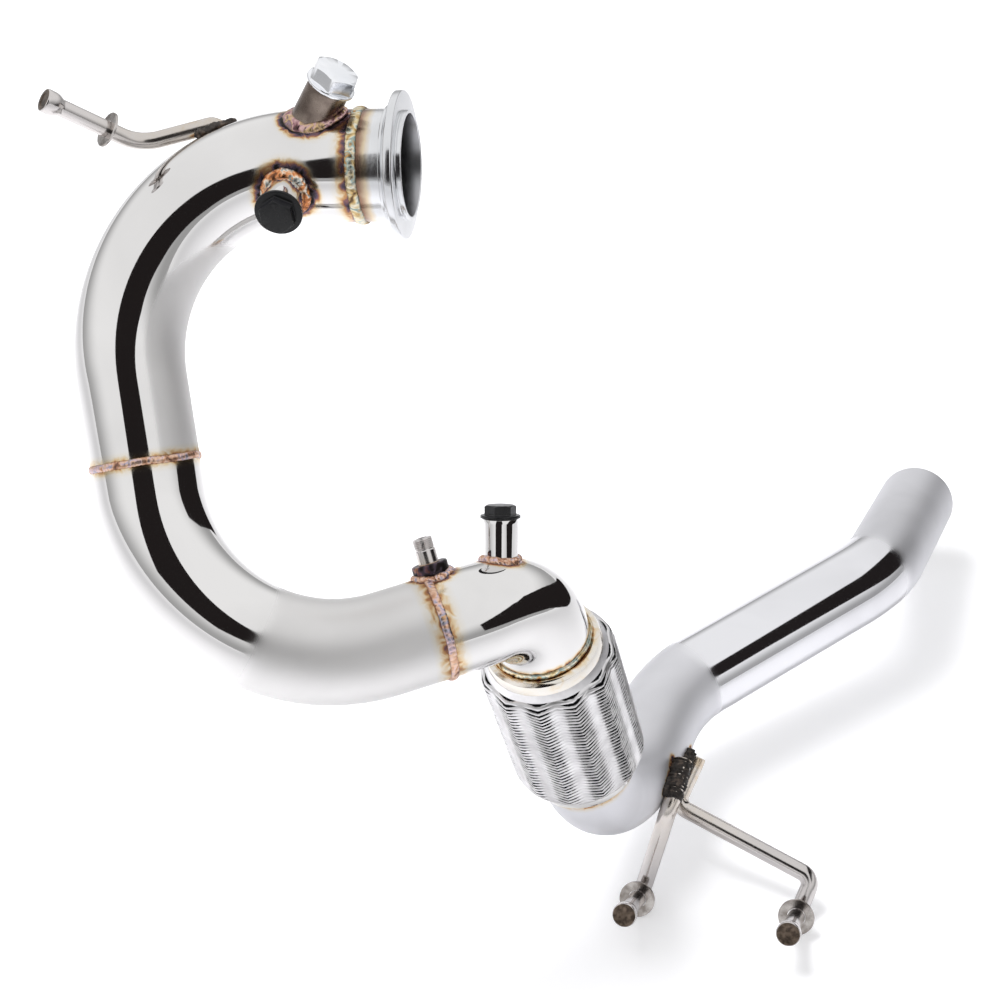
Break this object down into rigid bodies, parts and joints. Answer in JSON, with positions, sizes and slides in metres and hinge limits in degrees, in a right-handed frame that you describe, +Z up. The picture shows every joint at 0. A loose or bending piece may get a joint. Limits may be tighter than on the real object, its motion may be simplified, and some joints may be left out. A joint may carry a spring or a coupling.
{
  "type": "exhaust bypass pipe",
  "caption": "Polished stainless exhaust bypass pipe with a V-band inlet flange, looping bends, a braided flex section, plugged sensor bungs and rod hangers.",
  "frame": {"origin": "centre of the inlet flange's sealing lip, over the open bore", "axes": "+X leaves the inlet flange along its axis, away from the pipe; +Z is up, within about 5 degrees of the upward direction of the table that the pipe was pictured on; +Y completes the right-handed frame"},
  "size_m": [0.5565, 0.5853, 0.6521],
  "materials": {
    "polished_tube": "polished stainless",
    "flange": "fine turned",
    "tinted_weld": "rippled, heat tinted",
    "sooted_weld": "rough, burnt",
    "braid": "woven wire",
    "inner_steel": "plain",
    "rod": "satin",
    "chrome_plug": "bright plated",
    "black_plug": "black oxide"
  },
  "bodies": {
    "root": {"elbow": "polished_tube", "elbow_weld": "tinted_weld", "flex_bellows": "inner_steel", "flex_braid": "braid", "flex_inlet_collar": "polished_tube", "flex_inlet_weld": "tinted_weld", "flex_liner": "inner_steel", "flex_outlet_collar": "polished_tube", "flex_outlet_weld": "tinted_weld", "front_hanger_rod": "rod", "front_hanger_washer": "rod", "front_hanger_weld": "sooted_weld", "front_sensor_bung": "polished_tube", "front_sensor_bung_weld": "tinted_weld", "front_sensor_plug": "chrome_plug", "inlet_flange": "flange", "inlet_weld": "tinted_weld", "lower_bend": "polished_tube", "mid_weld": "tinted_weld", "outlet_pipe": "polished_tube", "pressure_nipple": "polished_tube", "pressure_nipple_weld": "tinted_weld", "rear_hanger_rod_a": "rod", "rear_hanger_rod_b": "rod", "rear_hanger_washer_a": "rod", "rear_hanger_washer_b": "rod", "rear_hanger_weld_a": "sooted_weld", "rear_hanger_weld_b": "sooted_weld", "rear_sensor_bung": "polished_tube", "rear_sensor_bung_weld": "tinted_weld", "rear_sensor_plug": "black_plug", "side_sensor_bung": "polished_tube", "side_sensor_bung_weld": "tinted_weld", "side_sensor_plug": "black_plug", "upper_bend": "polished_tube"}
  },
  "joints": []
}
